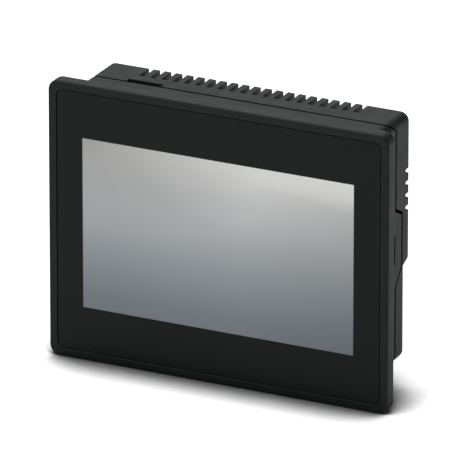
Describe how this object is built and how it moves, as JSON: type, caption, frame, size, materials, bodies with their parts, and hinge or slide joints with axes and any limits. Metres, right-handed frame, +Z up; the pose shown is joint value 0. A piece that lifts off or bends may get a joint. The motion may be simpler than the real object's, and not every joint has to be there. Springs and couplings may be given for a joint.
{
  "type": "operator terminal",
  "caption": "Panel-mount operator terminal with a 7 inch touch display, sealed front frame, vented rear cover and pluggable power connector.",
  "frame": {"origin": "centre of the panel cut-out, in the plane where the gasket meets the cabinet sheet", "axes": "+X to the viewer's right across the width, +Y from the front face to the back through the cabinet sheet, +Z up"},
  "size_m": [0.187, 0.0462, 0.147],
  "materials": {
    "black_plastic": "fine moulded texture, satin black",
    "rubber_black": "dull elastomer",
    "clear_film": "clear polyester with a fine hard coat",
    "black_ink": "flat printed ink",
    "touch_foil": "clear conductive foil",
    "clear_glass": "float glass",
    "display_grey": "unlit display, satin polariser",
    "acrylic": "clear acrylic with printed dots",
    "grey_foam": "closed cell foam",
    "bright_steel": "tinned sheet steel",
    "tinned_brass": "tin-plated brass",
    "zinc_screw": "zinc-plated steel",
    "amber_flex": "polyimide foil",
    "green_board": "solder mask over glass laminate",
    "chip_black": "moulded black plastic",
    "white_plastic": "white moulded plastic",
    "green_plastic": "green moulded plastic",
    "grey_pad": "soft thermal pad",
    "ferrite": "dull pressed ferrite",
    "aluminium_can": "bright drawn can",
    "black_anodised": "black anodised extrusion",
    "label_silver": "blank silver polyester label"
  },
  "bodies": {
    "housing": {"front_bezel": "black_plastic", "panel_gasket": "rubber_black", "overlay_film": "clear_film", "print_mask": "black_ink", "touch_film": "touch_foil", "touch_spacer": "white_plastic", "touch_glass": "clear_glass", "touch_tail": "amber_flex", "display_foam": "grey_foam", "lcd_frame": "bright_steel", "lcd_glass": "display_grey", "light_guide": "acrylic", "led_strip": "white_plastic", "lcd_back_tray": "bright_steel", "lcd_tail": "amber_flex", "chassis_plate": "bright_steel", "chassis_screw_1": "zinc_screw", "chassis_screw_2": "zinc_screw", "chassis_screw_3": "zinc_screw", "chassis_screw_4": "zinc_screw", "main_board": "green_board", "processor": "chip_black", "thermal_pad": "grey_pad", "heat_sink": "black_anodised", "memory_chip_1": "chip_black", "memory_chip_2": "chip_black", "power_inductor": "ferrite", "input_fuse": "white_plastic", "capacitor_1": "aluminium_can", "capacitor_2": "aluminium_can", "battery_holder": "chip_black", "backup_battery": "bright_steel", "power_header": "green_plastic", "ethernet_shell": "bright_steel", "ethernet_insert": "chip_black", "usb_shell": "bright_steel", "usb_tongue": "white_plastic", "serial_shell": "bright_steel", "serial_insulator": "chip_black", "jack_screw_1": "zinc_screw", "jack_screw_2": "zinc_screw", "rear_cover": "black_plastic", "case_screw_1": "zinc_screw", "case_screw_2": "zinc_screw", "case_screw_3": "zinc_screw", "case_screw_4": "zinc_screw", "rating_label": "label_silver"},
    "wire_plug": {"power_plug": "green_plastic", "plug_contact_1": "tinned_brass", "plug_contact_2": "tinned_brass", "plug_contact_3": "tinned_brass"},
    "clamp_screw_1": {"terminal_screw_1": "zinc_screw"},
    "clamp_screw_2": {"terminal_screw_2": "zinc_screw"},
    "clamp_screw_3": {"terminal_screw_3": "zinc_screw"},
    "clamp_cage_1": {"terminal_cage_1": "tinned_brass"},
    "clamp_cage_2": {"terminal_cage_2": "tinned_brass"},
    "clamp_cage_3": {"terminal_cage_3": "tinned_brass"}
  },
  "joints": [
    {"name": "plug_pull", "type": "slide", "parent": "housing", "child": "wire_plug", "axis": [0, 0, -1], "range_m": [0, 0.012]},
    {"name": "screw_turn_1", "type": "hinge", "parent": "wire_plug", "child": "clamp_screw_1", "pos_m": [-0.06308, 0.0245, -0.066], "axis": [0, -1, 0], "range_deg": [0, 1728]},
    {"name": "screw_turn_2", "type": "hinge", "parent": "wire_plug", "child": "clamp_screw_2", "pos_m": [-0.058, 0.0245, -0.066], "axis": [0, -1, 0], "range_deg": [0, 1728]},
    {"name": "screw_turn_3", "type": "hinge", "parent": "wire_plug", "child": "clamp_screw_3", "pos_m": [-0.05292, 0.0245, -0.066], "axis": [0, -1, 0], "range_deg": [0, 1728]},
    {"name": "cage_lift_1", "type": "slide", "parent": "wire_plug", "child": "clamp_cage_1", "axis": [0, 1, 0], "range_m": [0, 0.0024]},
    {"name": "cage_lift_2", "type": "slide", "parent": "wire_plug", "child": "clamp_cage_2", "axis": [0, 1, 0], "range_m": [0, 0.0024]},
    {"name": "cage_lift_3", "type": "slide", "parent": "wire_plug", "child": "clamp_cage_3", "axis": [0, 1, 0], "range_m": [0, 0.0024]}
  ],
  "couplings": [
    {"joint": "screw_turn_1", "follows": "cage_lift_1", "rad_per_m": 12566},
    {"joint": "screw_turn_2", "follows": "cage_lift_2", "rad_per_m": 12566},
    {"joint": "screw_turn_3", "follows": "cage_lift_3", "rad_per_m": 12566}
  ]
}
